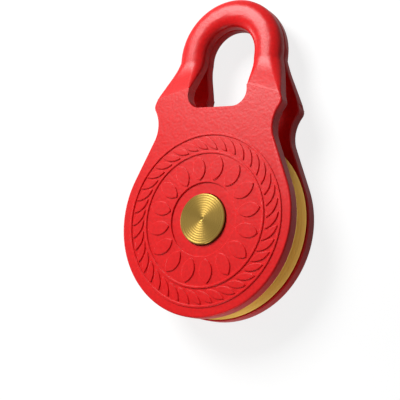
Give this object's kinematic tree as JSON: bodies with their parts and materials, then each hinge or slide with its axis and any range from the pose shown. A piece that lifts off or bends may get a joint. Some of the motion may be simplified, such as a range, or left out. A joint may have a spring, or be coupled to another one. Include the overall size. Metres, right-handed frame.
{
  "type": "snatch block",
  "caption": "Swing-side snatch block with two forged half-eye cheek plates, a grooved sheave and a headed axle, for redirecting a winch rope.",
  "frame": {"origin": "middle of the sheave, on the axle's axis and midway between the two cheek plates", "axes": "+Z along the axle from the rear plate to the front plate, +Y from the axle to the eye, +X to the right seen from the front"},
  "size_m": [0.125, 0.2131, 0.0348],
  "materials": {
    "red_paint": "glossy red powder coat on forged steel",
    "gold_axle": "turned steel with a yellow plated finish",
    "gold_sheave": "turned steel with a yellow plated finish",
    "zinc_steel": "bright zinc plate",
    "spring_steel": "oiled black spring steel",
    "bright_steel": "polished hardened steel",
    "bearing_bronze": "machined bearing bronze"
  },
  "bodies": {
    "frame": {"rear_cheek_plate": "red_paint", "axle": "gold_axle", "retaining_washer": "zinc_steel", "retaining_ring": "spring_steel", "grease_fitting": "zinc_steel", "check_ball": "bright_steel", "check_spring": "spring_steel", "rear_thrust_washer": "bearing_bronze", "front_thrust_washer": "bearing_bronze"},
    "swing_plate": {"front_cheek_plate": "red_paint"},
    "pulley": {"sheave": "gold_sheave", "sheave_bush": "bearing_bronze"}
  },
  "joints": [
    {"name": "plate_swing", "type": "hinge", "parent": "frame", "child": "swing_plate", "pos_m": [0, 0, 0], "axis": [0, 0, 1], "continuous": true},
    {"name": "sheave_spin", "type": "hinge", "parent": "frame", "child": "pulley", "pos_m": [0, 0, 0], "axis": [0, 0, 1], "continuous": true}
  ]
}
